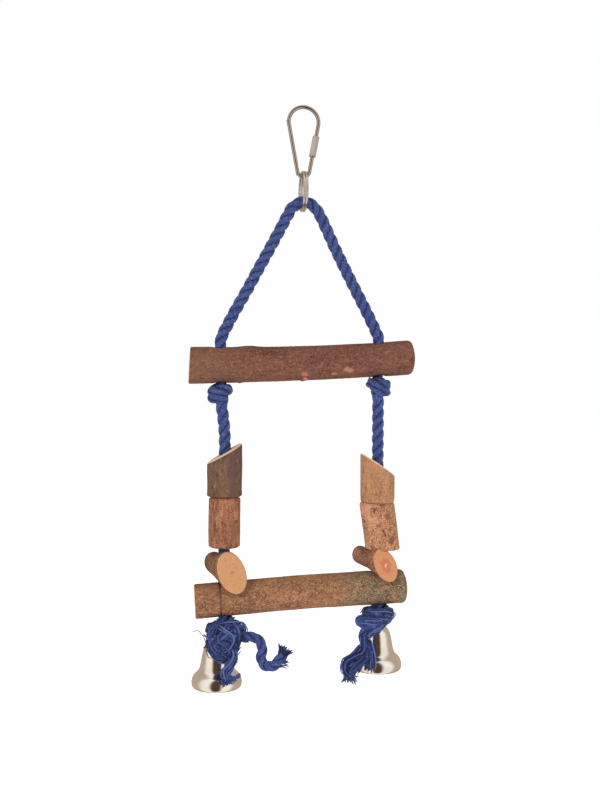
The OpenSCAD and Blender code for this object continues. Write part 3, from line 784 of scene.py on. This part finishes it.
loose = [
    [(-5, -7, -1), (-8.6, -8, -8), (-9.2, -8, -15), (-6.6, -9.4, -20.6), (-1, -10.4, -24.4),
     (4, -10.6, -25)],
    [(0, -7, 1), (-5, -11, -3), (-8.4, -11, -9), (-5, -12.6, -16), (0, -12.4, -20)],
    [(4, -7, 0), (0, -11.4, -5), (-3.6, -13, -11), (1, -13.2, -16), (5, -12, -22)],
    [(-6, -9, -3), (0, -12.4, -6.4), (5, -12.4, -11), (3, -13, -17), (-2, -12.6, -21)],
    [(7, -8, -4), (2, -12, -8), (-4, -12.8, -13), (-8, -10, -18)],
    [(3, -9, -1), (6.6, -11.4, -6), (6.8, -11.6, -12), (3.4, -12.8, -18), (3, -11.6, -24)],
    [(-3, -8, 0), (-5, -11, -8), (-3.6, -12.4, -15.6), (1, -12.6, -21.4), (6, -11.6, -24.4)],
    [(0, -8, -1), (2, -11.4, -8), (3, -12.6, -14), (3.4, -12, -19), (4, -11, -24)],
    [(5, -7, -3), (8, -9.6, -7), (8, -10, -12), (6.4, -10, -17), (4.4, -10, -22)],
    [(3, -8, -2), (6, -11, -7), (6.4, -12, -12), (5.4, -11.6, -17), (4.6, -11, -23)],
    [(-10, -7, -16), (-5, -12.4, -12.5), (0, -13.2, -12.6), (6, -12, -15)],
    [(-9.6, -8, -12), (-5, -12.2, -17.4), (1, -13.2, -18.6), (6, -12.6, -14), (9, -10, -10)],
    [(-3, -9, -3), (3, -10.6, -2.4), (9, -8.6, -3.2), (11.4, -6, -6.6), (10, -6, -10)],
    [(-8, -7, -5), (-2, -10.6, -5.4), (4, -11.4, -7.4), (9, -9, -11.4), (13, -7, -12.4)],
    [(-9, -8, -18), (-4, -12.2, -23.4), (3, -12.6, -22), (8, -11, -17)],
    [(-7, -9, -4), (-8, -10.6, -11), (-5.4, -12.4, -18.4), (0, -12.8, -22.4)],
    [(-10, -6, -8), (-6, -11, -9.6), (-1, -12.6, -7.6), (4, -11.6, -4.6)],
    [(8, -4, -6), (9, -1, -11), (4, 1.4, -15), (-3, 1.4, -16), (-8, -2, -14)],
    [(-8, -3, -5), (-9, 0, -9), (-4, 2.6, -12), (3, 2.6, -10), (8, 0, -8)],
    [(-2, 2, -3), (2, 3.4, -8), (6, 0.6, -14), (3, -3, -19)]]
for number, points in enumerate(loose):
    bundle(shape, 60 + number, below_left(*points), 13, 1.9)
left_rope = shape.piece("left_rope_strands", [cotton], "lower")
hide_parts("left_rope")

shape = Shape()
rope(shape, eased([(right_x, 0, -176.2), (right_x, 0, -240), (right_x, 0, -290),
                   (right_x, 0, right_under - 3)]), rope_r, 2.4)
rope(shape, eased(below_right(
    (0, 0, 1), (3, 3.6, -2.6), (7, -1, -4.2), (4, -7, -4.4), (-3.6, -7.4, -4), (-7, -1.6, -4.4),
    (-3, 4.2, -5), (4, 3, -6.4), (5.6, -3.4, -8), (1, -7.8, -8.6), (-6, -7, -7.6),
    (-11, -5.4, -7.8), (-12.4, -6.2, -9), (-9, -8.6, -10.2), (-4, -8.4, -10.6),
    (0, -5, -10))), 0.0034, 0.9)
rope(shape, eased(below_right((2, -3, -7), (-1, -6, -10), (-6, -7.4, -12.4), (-9.4, -8, -15.4))),
     0.0034, 0.2)
loose = [
    [(-8, -7, -2.6), (-3, -10, -2.6), (3, -10.4, -2.8), (8, -7.6, -5), (5, -8.6, -9)],
    [(-7, -6, -5), (-2, -10.8, -5.4), (4, -10.6, -6.4), (6.6, -7, -8)],
    [(3, -9, -6), (-2, -11.2, -7), (-9, -9.6, -6.4), (-12.4, -8, -8), (-10, -10, -10.4)],
    [(3, -8, -9), (-2, -11, -9), (-8, -10.4, -8.4), (-11.6, -8.4, -9)],
    [(4, -7, -9), (-1, -10.4, -12), (-6, -11, -14.6), (-10, -11, -19), (-10, -11, -23)],
    [(1, -8, -10), (-3.6, -10.6, -14), (-8.4, -11.6, -17), (-11.4, -11, -21)],
    [(6, 2, -4), (2, 6, -7), (-5, 4, -8), (-10, -2, -9)]]
for number, points in enumerate(loose):
    bundle(shape, 80 + number, below_right(*points), 12, 1.8)
right_rope = shape.piece("right_rope_strands", [cotton], "lower")
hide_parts("right_rope")


# Lower perch: a rougher branch with orange-specked bark, mossy towards its rounded right end. It is
# drilled across for the two lower ropes and hangs on the knots under it.
lower_lean, lower_start, lower_end = slung(-300.4, 3, 65.75)
lower_bark = bark_finish(
    "specked_bark", linear(106, 70, 50), linear(142, 98, 71), linear(200, 150, 110),
    (0.6, 1.0, 1.0), (0.53, 0.68, 0.6), 0.7, 0.85,
    (0.016, 0.038, linear(96, 82, 60), linear(176, 158, 126), 0.9))
lower_sawn = sawn_finish("lower_perch_ends", lower_start, tuple(lower_lean),
                         linear(214, 182, 140), linear(176, 132, 90), linear(130, 90, 60))
shape = Shape()
branch(shape, lower_start, lower_end, lambda t: 10.5 - 0.2 * math.sin(math.pi * t) + 0.1 * t,
       31, (0.5, 3.4), 0.014, 0.16, sag=-0.9)
lower_perch = shape.piece("lower_perch_branch", [lower_bark, lower_sawn], "lower")
bored(lower_perch, -np.cross(lower_lean, (0, 1, 0)), (left_x, 0, -302.9), (right_x, 0, -297.9))
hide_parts("lower_perch")


# Beads: short lengths of branch with the bark left on, drilled lengthwise for the rope. The two
# upper ones are sawn on the slant at the top, and the right lower one is cut from a leaning piece.
def bead(kind, hand, x, radius, low, rise, bark, sawn, seed, ease, lean=0.0):
    """A drilled bead: its wall, its two faces and its hole make one closed surface.

    low is its height at the lower side, and its top rises from there to the right, or to the left
    where rise is below 0. lean is the slope by which its foot stands to the right of its top."""
    node = kind + "_bead_" + hand
    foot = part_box(node)[0].z * 1000
    around = 132
    turn = np.arange(around) * 2 * math.pi / around
    bark_at = lumps(seed, turn)
    run = low + rise      # length over which the lumps of the bark and the eased foot are spread
    steps = 34
    insets = (0.5, 0.62, 0.76, 0.9)
    order = [("hole", 0.0, 1.0)] + [("face", 0.0, s) for s in insets]
    order += [("wall", i / steps, 1.0) for i in range(steps + 1)]
    order += [("face", 1.0, s) for s in reversed(insets)] + [("hole", 1.0, 1.0)]
    rows = []
    groups = []
    for part, t, s in order:
        wide, fine = bark_at(t * run)
        r = radius * (1 + 0.018 * wide)
        shift = lean * (0.9 - t) * run
        pale = part != "wall" or (rise != 0 and t > 0.985)
        if part == "wall":
            r = r + 0.14 * fine - eased_edge(t * run, ease) - eased_edge((1 - t) * low, ease)
        elif part == "face":
            r = np.maximum((r - ease) * s, bore_r)
        else:
            r = np.full(around, bore_r)
            shift = 0.0
        beside = r * np.cos(turn) + shift
        top = np.maximum(low + abs(rise) / 2 + rise / (2 * radius) * beside, low - 2)
        rows.append(np.stack([x + beside, r * np.sin(turn), foot + t * top], 1))
        groups.append(int(pale))
    groups = [max(groups[i - 1], groups[i]) for i in range(1, len(rows))] + [1]
    shape = Shape()
    shape.add(np.concatenate(rows) / 1000, skin(len(rows), around, ring=True),
              groups=np.repeat(groups, around))
    made = shape.piece(node + "_wood", [bark, sawn], kind + "_" + hand)
    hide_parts(node)


olive = bark_finish(
    "olive_bark", linear(78, 57, 45), linear(106, 77, 60), linear(150, 116, 92),
    (1.0, 1.0, 0.5), (0.6, 0.72, 0.8), 0.7, 0.65,
    scars=[((-43.4, -9.6, -226), (3.0, 4.0, 16.0), linear(88, 64, 58))])
reddish = bark_finish(
    "fissured_bark", linear(108, 66, 49), linear(156, 100, 75), linear(200, 154, 122),
    (1.0, 1.0, 0.22), (0.58, 0.72, 0.5), 0.85, 0.85,
    scars=[((-41.2, -7.2, -254.6), (1.5, 2.4, 1.3), linear(46, 32, 26)),
           ((-42, -7.2, -260), (3.0, 3.4, 7.0), linear(122, 84, 62))])
tan = bark_finish(
    "tan_bark", linear(142, 98, 70), linear(168, 122, 86), linear(198, 152, 112),
    (1.0, 1.0, 0.3), (0.56, 0.7, 0.8), 0.55, 0.75)
spotted = bark_finish(
    "spotted_bark", linear(128, 82, 58), linear(178, 128, 94), linear(212, 166, 128),
    (0.9, 0.9, 0.6), (0.54, 0.66, 0.8), 1.0, 0.85,
    scars=[((43.8, -9.8, -248.0), (1.2, 3.0, 2.4), linear(74, 44, 34)),
           ((52.0, -9.8, -252.6), (2.4, 3.0, 2.2), linear(112, 68, 50)),
           ((54.6, -9.4, -266.6), (2.0, 3.0, 2.8), linear(112, 68, 52)),
           ((47.0, -10.4, -257.6), (2.4, 3.0, 1.2), linear(128, 80, 58))])
pale_left = sawn_finish("left_bead_ends", (left_x, 0, -240), (0, 0, 1), linear(208, 178, 150),
                        linear(182, 144, 112), linear(160, 120, 84))
pale_right = sawn_finish("right_bead_ends", (right_x, 0, -230), (0, 0, 1), linear(218, 190, 158),
                         linear(194, 156, 120), linear(170, 128, 90))
bead("slant", "left", left_x, 10.7, 20.6, 12.4, olive, pale_left, 41, 1.0)
bead("bark", "left", left_x, 9.7, 30.8, 0, reddish, pale_left, 43, 1.4)
bead("slant", "right", right_x, 10.7, 16.4, -14.4, tan, pale_right, 45, 0.6)
bead("bark", "right", right_x, 10.9, 29, 0, spotted, pale_right, 47, 0.6,
     math.tan(math.radians(7.5)))


# Bells: pressed from thin sheet and nickel-plated, each hung by an eye on a loop of thin wire.
# A small steel ball on a wire swings inside as the clapper.
bell_nickel = nickel_finish("nickel_bell", linear(246, 236, 224), 0.1)
form = [(0.0, 0.955), (0.03, 0.985), (0.08, 1.0), (0.13, 1.0), (0.2, 0.965), (0.26, 0.9),
        (0.31, 0.81), (0.36, 0.73), (0.43, 0.675), (0.55, 0.63), (0.68, 0.59), (0.79, 0.54),
        (0.86, 0.49), (0.92, 0.4), (0.965, 0.27), (0.995, 0.12)]
bell_r, bell_h, bell_y, sheet = 15.7, 28.2, 11, 0.8
top_hole_r = 1.0
rim_bead = 0.25
outer = eased([(r * bell_r, 0, (z - 1) * bell_h) for z, r in form], 0.0005)[:, [0, 2]] * 1000
outward = np.gradient(outer, axis=0)
outward = np.stack([outward[:, 1], -outward[:, 0]], 1)
outward /= np.linalg.norm(outward, axis=1)[:, None]
inner = outer - sheet * outward
inner[:, 1] = np.maximum(inner[:, 1], -bell_h)
inner[:, 0] = np.maximum(inner[:, 0], top_hole_r)
outer[:, 0] = np.maximum(outer[:, 0], top_hole_r)
rim = [((outer[0, 0] + inner[0, 0]) / 2, -bell_h - rim_bead)]
profile = np.concatenate([outer, inner[::-1], rim])
reach, height = profile[:, None, 0], profile[:, None, 1]
around = 128
turn = np.arange(around) * 2 * math.pi / around
for name, x, top in (("left", -51.4, -330.72), ("right", 50.4, -322.90)):
    points = np.stack([x + reach * np.cos(turn), bell_y + reach * np.sin(turn),
                       np.broadcast_to(top + height, (len(profile), around))], 2)
    shape = Shape()
    shape.add(points / 1000, skin(len(profile), around, ring=True))
    bell = shape.piece(name + "_bell_shell", [bell_nickel], "bell_" + name)
    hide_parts("bell_" + name)
clapper_steel = nickel_finish("clapper_steel", linear(120, 116, 110), 0.35)
finished(wire_steel, "bell_eye_left", "bell_eye_right", "bell_wire_left", "bell_wire_right",
         "wire_ends_left")
finished(clapper_steel, "clapper_left", "clapper_right")


# Cross stubs: short bits of branch drilled across, so that they lie over the lower perch. Their
# fronts are sawn on the slant and show pale wood.
stub_back, stub_front = 15, 20
slant = 12            # how far the top of the sawn front stands in, in millimetres


def stub(hand, x, shift, z, turned, dips, radii, seed, bark, face_colours, squeeze, heart=0.0):
    """A stub from its back end to its sawn front, with the rope hole through it.

    x and z are the place of the hole, and the middle of the stub is shifted to its left. The stub
    is turned and dips to its front by degrees, radii are its radii at the back, the hole and the
    front, and squeeze makes the front oval."""
    turned = math.radians(turned)
    dips = math.radians(dips)
    axis = np.array([math.sin(turned) * math.cos(dips), -math.cos(turned) * math.cos(dips),
                     -math.sin(dips)])
    middle = np.array([x - shift * math.cos(turned), -shift * math.sin(turned), z])
    end = middle + axis * stub_front
    side = np.cross(axis, (0.0, 0.0, 1.0))
    side /= np.linalg.norm(side)
    long = stub_back + stub_front
    oval_lean = math.radians(18)
    tall = np.cross(axis, side) * math.cos(oval_lean) - side * math.sin(oval_lean)
    tall /= np.linalg.norm(tall)
    flat_way = np.cross(axis, tall)

    def cuts(flat):
        up = flat[:, 2]
        return -0.15 * up, -slant * (up / radii[2] + 1) / 2

    def oval(t):
        k = 0.16 * max(0.0, min(1.0, (t * long - stub_back) / stub_front * 1.2)) * squeeze
        return np.eye(3) + k * np.outer(tall, tall) - k * np.outer(flat_way, flat_way)

    def radius(t):
        return float(np.interp(t * long, (0, stub_back, long), radii))

    shape = Shape()
    branch(shape, middle - axis * stub_back, end, radius, seed, (1.6, 0.35), 0.02, 0.14, cuts,
           oval=oval)
    name = hand + "_stub_wood"
    sawn = sawn_finish(name + "_face", end, tuple(axis), *face_colours, heart=heart)
    made = shape.piece(name, [bark, sawn], "stub_" + hand)
    bored(made, (0, 0, 1), (x, 0, z))
    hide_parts("cross_stub_" + hand)


stub_bark = bark_finish("stub_bark", linear(86, 54, 40), linear(132, 92, 68),
                        linear(172, 130, 100), (1.0, 0.5, 1.0), (0.6, 0.72, 0.6), 0.5, 0.85)
red_stub_bark = bark_finish("rough_stub_bark", linear(96, 62, 46), linear(150, 102, 76),
                            linear(192, 146, 112), (1.0, 0.5, 1.0), (0.54, 0.68, 0.7), 0.8, 0.85)
stub("left", left_x, 1, -283.2, 20, 5, (6.4, 7.5, 10.6), 51, stub_bark,
     (linear(190, 141, 101), linear(168, 116, 76), linear(160, 110, 72)), 0.7)
stub("right", right_x - 0.7, 3, -280, 24, 6, (5.5, 5.8, 8.9), 53, red_stub_bark,
     (linear(196, 138, 98), linear(172, 104, 70), linear(222, 168, 126)), 0.2, 0.005)


# Room: a plain pale floor far under the hanging toy, and soft studio light. The surround is white
# to the eye, and the metals mirror it as even bands of dark, white and beige.
white = (1, 1, 1, 1)
floor_z = -0.46
floor_finish = Finish("floor", Base_Color=(0.92, 0.92, 0.92, 1), Roughness=0.9,
                      Specular_IOR_Level=0.0, Emission_Color=white, Emission_Strength=0.4)
mesh = bpy.data.meshes.new("floor")
mesh.from_pydata([(x, y, floor_z) for x, y in ((-6, -6), (6, -6), (6, 6), (-6, 6))], [],
                 [(0, 1, 2, 3)])
mesh.materials.append(floor_finish.material)
floor = bpy.data.objects.new("floor", mesh)
bpy.context.scene.collection.objects.link(floor)
floor.visible_glossy = False

world = bpy.data.worlds.new("surround")
bpy.context.scene.world = world
surround = Nodes(world, "ShaderNodeOutputWorld")


def glow(colour, strength):
    return surround.node("ShaderNodeBackground", {}, {0: colour, 1: strength})


def only_for(ray, seen, otherwise):
    """One light for a kind of ray, and another for the rest."""
    mask = surround.node("ShaderNodeLightPath", {}, {}, ray)
    return surround.node("ShaderNodeMixShader", {}, {0: mask, 1: otherwise, 2: seen})


way = surround.node("ShaderNodeTexCoord", {}, {}, "Generated")
level_way = surround.node("ShaderNodeVectorMath", {"operation": "MULTIPLY"},
                          {0: way, 1: (1, 1, 0.25)})
level_way = surround.node("ShaderNodeVectorMath", {"operation": "NORMALIZE"}, {0: level_way})
facing = surround.node("ShaderNodeVectorMath", {"operation": "DOT_PRODUCT"},
                       {0: level_way, 1: -ahead}, 1)
mirrored = surround.mix(surround.between(facing, -0.1, 0.5), (0.49, 0.42, 0.355, 1),
                        (1, 0.98, 0.95, 1))
mirrored = surround.mix(surround.between(facing, 0.84, 0.96), mirrored, (0.08, 0.045, 0.028, 1))
lit = only_for("Is Glossy Ray", glow(mirrored, 1.0), glow((1, 0.99, 0.97, 1), 0.72))
surround.feed(surround.end, only_for("Is Camera Ray", glow(white, 1.0), lit))

for name, spot, size, power in (("key", (-0.7, -1.1, 0.5), 0.9, 12),
                                ("fill", (1.0, -0.8, -0.1), 1.2, 5)):
    lamp = bpy.data.lights.new(name, "AREA")
    lamp.size = size
    lamp.energy = power
    made = bpy.data.objects.new(name, lamp)
    bpy.context.scene.collection.objects.link(made)
    made.location = spot
    aim = Vector((0, 0, -0.2)) - Vector(spot)
    made.rotation_euler = aim.to_track_quat("-Z", "Y").to_euler()
    made.visible_glossy = False

bpy.context.scene.view_settings.view_transform = "Standard"
